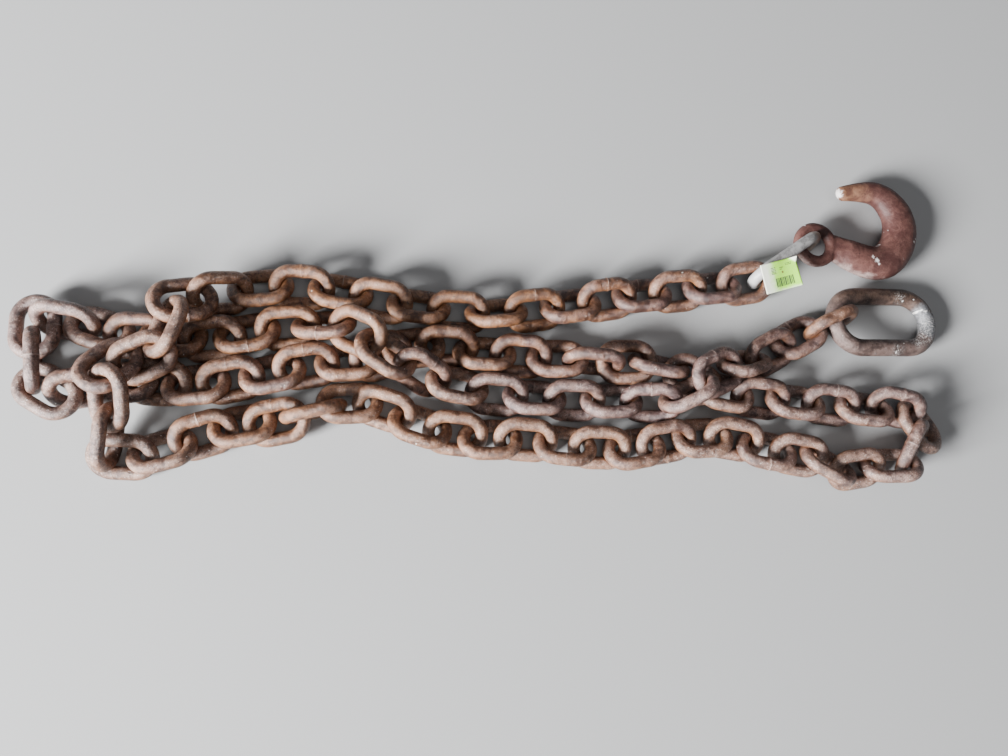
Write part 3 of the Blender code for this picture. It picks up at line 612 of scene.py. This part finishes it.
def contact_shares(points, own, centres):
    """How near each point is to another piece's wire: 1 where they touch, 0 beyond the rust's reach."""
    low, high = points.min(axis=0) - 0.02, points.max(axis=0) + 0.02
    near = np.full(len(points), 1.0)
    for k, (wire, samples) in enumerate(centres):
        if k == own or np.any(samples.max(axis=0) < low) or np.any(samples.min(axis=0) > high):
            continue
        gap = np.linalg.norm(points[:, None] - samples[None], axis=2).min(axis=1) - wire / 2
        near = np.minimum(near, gap)
    return np.clip(1 - near / JOINT_REACH, 0, 1) ** 1.5


def link_centres(poses):
    """Samples along the wire's middle of every piece, to tell where they touch."""
    centres = []
    for sizes, middle, turned in poses:
        rows = stadium(*sizes, 24, 10)
        flat = np.stack([rows[:, 0], rows[:, 1], np.zeros(len(rows))], axis=1)
        centres.append((sizes[2], flat @ turned.T + middle))
    return centres


def along_chain(table, k):
    """The share that a table gives for piece k, a little different for each piece."""
    numbers, shares = zip(*table)
    return np.interp(k + 1, numbers, shares) + LINK_TO_LINK * ((k * GOLDEN) % 1.0 - 0.5)


def blots(points, spots):
    """How much each point is marked by round spots, each a place, a radius and a strength."""
    share = np.zeros(len(points))
    for along, across, radius, strength in spots:
        apart = np.hypot(points[:, 0] / MM - along, points[:, 1] / MM - across)
        share = np.maximum(share, strength * np.clip(BLOT_EDGE - apart / radius, 0, 1))
    return share


def closed_piece(k, poses, weld_height, fineness):
    """Piece k of the chain: its points in its own axes and in place, its faces and its weld share."""
    sizes, middle, turned = poses[k]
    weld_side = 1 if k * 7 % 3 else -1
    points, faces, weld = wire_surface(sizes, k + 1.5, weld_side, weld_height, fineness)
    return points, points @ turned.T + middle, faces, weld


def pair_node(k):
    """CAD node of the pair that link k, counted from 0, belongs to."""
    first = k - k % 2 + 1
    return "links_%02d_%02d" % (first, first + 1)


def build_link(k, poses, centres, material):
    weld_height = LOWEST_WELD + (HIGHEST_WELD - LOWEST_WELD) * (k * (1 - GOLDEN) % 1.0) ** 2
    _, points, faces, weld = closed_piece(k, poses, weld_height, LINK_FINENESS)
    attributes = {
        "weld": weld * min(1.0, weld_height / PALE_WELD),
        "tone": np.full(len(points), along_chain(RUST_ALONG, k)),
        "dust": np.full(len(points), along_chain(DUST_ALONG, k)),
        "contact": contact_shares(points, k, centres),
    }
    made = mesh_object("chain_link_%02d" % (k + 1), points, faces, material, attributes)
    keep(made, "chain_steel", pair_node(k))


def build_coupling(k, poses):
    own, points, faces, _ = closed_piece(k, poses, 0.0, COUPLING_FINENESS)
    attributes = {"end": own[:, 0] / own[:, 0].max()}
    made = mesh_object("coupling_link_bare", points, faces, bare_steel(), attributes)
    keep(made, "coupling_link", "coupling_link")


def build_end_link(k, poses):
    own, points, faces, _ = closed_piece(k, poses, 0.0, END_FINENESS)
    attributes = {
        "end": own[:, 0] / own[:, 0].max(),
        "side": own[:, 1] / own[:, 1].max(),
        "paint": blots(own, END_LINK_BLOTS),
        "flecks": blots(own, END_LINK_FLECKS),
        "worn": blots(own, END_LINK_WORN),
    }
    made = mesh_object("end_link_forged", points, faces, end_steel(), attributes)
    keep(made, "end_link", "end_link")


def build_chain():
    """All closed pieces from the hook's end to the end link, each where its solid is."""
    poses = []
    for k in range(0, LINK_COUNT, 2):
        poses += [(LINK, *found) for found in link_frames(pair_node(k), LINK, 2)]
    poses += [(COUPLING, *found) for found in link_frames("coupling_link", COUPLING, 1)]
    poses += [(END_LINK, *found) for found in link_frames("end_link", END_LINK, 1)]
    centres = link_centres(poses)
    steel = chain_steel()
    for k in range(LINK_COUNT):
        build_link(k, poses, centres, steel)
    build_coupling(LINK_COUNT, poses)
    build_end_link(LINK_COUNT + 1, poses)


# Hook

def smooth_spine(steps):
    """A smooth curve through the rows of the hook's spine, in metres."""
    rows = np.array(HOOK_SPINE, dtype=float)
    padded = np.vstack([2 * rows[0] - rows[1], rows, 2 * rows[-1] - rows[-2]])
    out = []
    for k in range(1, len(padded) - 2):
        p0, p1, p2, p3 = padded[k - 1:k + 3]
        for n in range(steps):
            t = n / steps
            out.append(0.5 * (2 * p1 + (p2 - p0) * t + (2 * p0 - 5 * p1 + 4 * p2 - p3) * t ** 2
                              + (3 * p1 - p0 - 3 * p2 + p3) * t ** 3))
    out.append(padded[-2])
    return np.array(out) * MM


def hook_frame():
    """Axes of the hook: along its shank, across it and up from it."""
    heading, rise = radians(HOOK_SET[0]), radians(HOOK_SET[1])
    along = np.array([cos(heading) * cos(rise), sin(heading) * cos(rise), sin(rise)])
    side = np.cross([0.0, 0.0, 1.0], along)
    side /= np.linalg.norm(side)
    return np.stack([along, side, np.cross(along, side)], axis=1)


def hook_rows():
    """Middle and breadth of each section of the body, the way that it faces and its share of thickness."""
    spine = smooth_spine(SPINE_STEPS)
    neck = np.array(HOOK_NECK)
    rows = np.vstack([neck[:, :3] * MM, spine])
    thick = np.interp(np.arange(len(spine)), (0, THICKENING_ROWS), (FIRST_THICKNESS, 1.0))
    thick = np.append(neck[:, 3], thick)
    ahead = np.gradient(rows[:, :2], axis=0)
    ahead /= np.linalg.norm(ahead, axis=1)[:, None]
    end, way, radius = rows[-1], ahead[-1], rows[-1, 2] / 2
    for angle in np.linspace(0, pi / 2, TIP_STEPS + 1)[1:]:
        place = end[:2] + way * radius * TIP_LENGTH * sin(angle)
        rows = np.vstack([rows, [*place, max(2 * radius * cos(angle), TIP_POINT)]])
        ahead = np.vstack([ahead, way])
        thick = np.append(thick, 1.0)
    return rows, ahead, thick


def squared(value):
    """A sine or cosine that makes a circle slightly square."""
    return np.sign(value) * abs(value) ** SECTION_ROUNDNESS


def hook_body():
    """The forged body: rounded sections along the spine, closed by a rounded tip."""
    rows, ahead, thick = hook_rows()
    angles = np.arange(BODY_SIDES) * 2 * pi / BODY_SIDES
    points = []
    for row, way, share in zip(rows, ahead, thick):
        side = np.array([-way[1], way[0], 0.0])
        half = row[2] / 2
        for angle in angles:
            up = squared(sin(angle)) * half * share * HOOK_FLATNESS
            points.append(np.array([row[0], row[1], up]) + side * squared(cos(angle)) * half)
    faces = tube_faces(len(rows), BODY_SIDES, closed=False)
    faces.append(tuple(range(BODY_SIDES)))
    faces.append(tuple(range((len(rows) - 1) * BODY_SIDES, len(rows) * BODY_SIDES))[::-1])
    return points, faces


def eye_ring():
    """The eye: a ring of round wire."""
    radius = (EYE_HOLE + EYE_WIRE) / 2
    points = []
    for k in range(EYE_STEPS):
        turn = k * 2 * pi / EYE_STEPS
        for a in range(EYE_SIDES):
            angle = a * 2 * pi / EYE_SIDES
            reach = radius + EYE_WIRE / 2 * cos(angle)
            points.append((reach * cos(turn), reach * sin(turn), EYE_WIRE / 2 * sin(angle)))
    return points, tube_faces(EYE_STEPS, EYE_SIDES)


def grow_together(made):
    """Body and eye become one forging, with soft fillets between them."""
    grown = made.modifiers.new("Grown together", "REMESH")
    grown.mode = "VOXEL"
    grown.voxel_size = GROWN_GRAIN
    soft = made.modifiers.new("Fillets", "SMOOTH")
    soft.factor = 0.5
    soft.iterations = FILLET_STEPS
    bpy.context.view_layer.update()
    mesh = bpy.data.meshes.new_from_object(made.evaluated_get(bpy.context.evaluated_depsgraph_get()))
    made.modifiers.clear()
    made.data = mesh
    mesh.name = made.name


def hook_marks(points, normals):
    """Where the hook is blotted with paint, browner towards its tip, and given a painted sheen along its
    lower left edge, the side that faces the light.
    """
    spine = smooth_spine(4)[:, :2]
    nearest = ((points[:, None, :2] - spine[None]) ** 2).sum(axis=2).argmin(axis=1)
    lower_left = np.clip(-0.45 * normals[:, 0] - 0.89 * normals[:, 1], 0, 1)
    return {
        "paint": blots(points, HOOK_BLOTS),
        "tipward": np.clip(nearest / len(spine) * 2.4 - 1.5, 0, 1),
        # The painted sheen's share: rims that face down and to the left, towards the light
        "edge": lower_left * np.clip((0.010 - points[:, 1]) / 0.02, 0, 1),
    }


def build_hook():
    body_points, body_faces = hook_body()
    eye_points, eye_faces = eye_ring()
    first = len(body_points)
    faces = body_faces + [tuple(n + first for n in face) for face in eye_faces]
    made = mesh_object("forged_hook", body_points + eye_points, faces, hook_steel())
    grow_together(made)
    points = np.array([vert.co for vert in made.data.vertices])
    normals = np.array([vert.normal for vert in made.data.vertices])
    set_attributes(made.data, hook_marks(points, normals))
    relief = HOOK_HOLLOWS[1] * wrinkles(points, HOOK_HOLLOWS[0], 3.3)
    relief += HOOK_DENTS[1] * wrinkles(points, HOOK_DENTS[0], 4.1)
    points = (points + normals * relief[:, None]) @ hook_frame().T
    low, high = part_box("hook")
    points += (np.array(low) + np.array(high)) / 2 - (points.min(axis=0) + points.max(axis=0)) / 2
    points[:, 2] += max(0.0, -points[:, 2].min())
    made.data.vertices.foreach_set("co", points.astype(np.float32).ravel())
    made.data.update()
    made.data.shade_smooth()
    keep(made, "hook", "hook")


# Lot tag

def tag_frame():
    """Axes of the tag: along its long edge, up its short edge and out of its face."""
    heading, lean = radians(TAG_SET[0]), radians(TAG_SET[2])
    along = np.array([cos(heading), sin(heading), 0.0])
    side = np.array([-sin(heading), cos(heading), 0.0])
    across = cos(lean) * side + sin(lean) * np.array([0.0, 0.0, 1.0])
    return np.stack([along, across, np.cross(along, across)], axis=1)


def bent(x, y):
    """Height of the curled and twisted card over its plane."""
    along = x / TAG_LENGTH
    across = y / TAG_WIDTH
    curl = TAG_CURL * (2 * along) ** 2 + TAG_WAVE * sin(7 * along + 3)
    twist = -TAG_TWIST * max(0.0, along) * across
    return curl + twist + TAG_CORNER_LIFT * max(0.0, along + across - 0.80) ** 1.3


def tag_grid():
    """Points and faces of the card in its own axes, and how far each point is washed out."""
    points, faces, fade = [], [], []
    for r in range(TAG_ROWS + 1):
        for c in range(TAG_COLUMNS + 1):
            along, across = c / TAG_COLUMNS, r / TAG_ROWS
            x, y = (along - 0.5) * TAG_LENGTH, (across - 0.5) * TAG_WIDTH
            points.append((x, y, bent(x, y)))
            fade.append(max(1.15 - along * 2.3, 0.55 - across * 3.5, (along + across - 1.75) * 6))
    for r in range(TAG_ROWS):
        for c in range(TAG_COLUMNS):
            n = r * (TAG_COLUMNS + 1) + c
            faces.append((n, n + 1, n + TAG_COLUMNS + 2, n + TAG_COLUMNS + 1))
    return np.array(points), faces, np.clip(fade, 0, 1)


def dashes(corner, pitch, columns, count, size, wide):
    """Rows of dashes. Every third dash is wider, from the one whose number is given."""
    made = []
    for n in range(count):
        x = corner[0] + pitch[0] * (n % columns)
        y = corner[1] + pitch[1] * (n // columns)
        made.append((x, y, size[0] + WIDER_DASH * (n % 3 == wide), size[1]))
    return made


def bars():
    """Upright bars side by side."""
    made = []
    x, y = BARS_CORNER
    for width in BAR_WIDTHS:
        made.append((x, y, width, BAR_HEIGHT))
        x += width + BAR_GAP
    return made


def printed(name, boxes, ink, turned, middle):
    """Marks printed on the card: corner, width and height of each, in millimetres."""
    points, faces = [], []
    for x, y, width, height in boxes:
        n = len(points)
        for px, py in ((x, y), (x + width, y), (x + width, y + height), (x, y + height)):
            points.append((px * MM, py * MM, bent(px * MM, py * MM) + PRINT_HEIGHT * MM))
        faces.append((n, n + 1, n + 2, n + 3))
    keep(mesh_object(name, np.array(points) @ turned.T + middle, faces, ink), "lot_tag")


def build_tag():
    """A card with a slight curl, and plain bars, dashes and a dot printed on it."""
    low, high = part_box("lot_tag")
    middle = (np.array(low) + np.array(high)) / 2
    turned = tag_frame()
    points, faces, fade = tag_grid()
    made = mesh_object("lot_tag_card", points @ turned.T + middle, faces, tag_card(), {"fade": fade})
    card = made.modifiers.new("Card", "SOLIDIFY")
    card.thickness = TAG_THICKNESS
    card.offset = 0.0
    keep(made, "lot_tag", "lot_tag")

    ink = tag_ink("tag_ink", INK)
    left_rows = dashes((-12.0, 3.5), (2.4, 1.9), 3, 15, (1.5, 0.9), 0)
    upper_rows = dashes((10.0, 11.5), (2.3, 1.8), 4, 8, (1.4, 0.8), 2)
    printed("lot_tag_bars", bars(), ink, turned, middle)
    printed("lot_tag_dashes", left_rows + upper_rows + LINES, ink, turned, middle)
    printed("lot_tag_dot", [DOT], tag_ink("tag_dot", DOT_INK), turned, middle)


# Floor, light and camera

def build_floor():
    bpy.ops.mesh.primitive_plane_add(size=FLOOR_SIZE)
    floor = bpy.context.object
    floor.name = "floor"
    floor.data.materials.append(Shader("pale_floor").finish(FLOOR_GREY, 0.85))


def build_light():
    """Soft light from the left and low behind the camera, with a little from above and all round."""
    world = bpy.data.worlds.new("soft_world")
    world.use_nodes = True
    background = world.node_tree.nodes["Background"]
    background.inputs["Color"].default_value = colour(SKY)
    background.inputs["Strength"].default_value = SKY_STRENGTH
    bpy.context.scene.world = world
    for name, place, size, power, tint in LIGHTS:
        data = bpy.data.lights.new(name, "AREA")
        data.shape = "SQUARE"
        data.size = size
        data.energy = power
        data.color = tint
        lamp = bpy.data.objects.new(name, data)
        lamp.location = place
        lamp.rotation_euler = (-Vector(place)).to_track_quat("-Z", "Y").to_euler()
        bpy.context.scene.collection.objects.link(lamp)


def build_camera():
    data = bpy.data.cameras.new("photo_camera")
    data.lens = LENS
    data.sensor_width = SENSOR_WIDTH
    camera = bpy.data.objects.new("photo_camera", data)
    back = Vector(CAMERA_BACK).normalized()
    right = Vector((0, 1, 0)).cross(back).normalized()
    up = back.cross(right)
    axes = Matrix((right, up, back)).transposed().to_4x4()
    camera.matrix_world = Matrix.Translation(CAMERA_PLACE) @ axes
    bpy.context.scene.collection.objects.link(camera)
    bpy.context.scene.camera = camera


build_chain()
build_hook()
build_tag()
build_floor()
build_light()
build_camera()
bpy.context.view_layer.update()
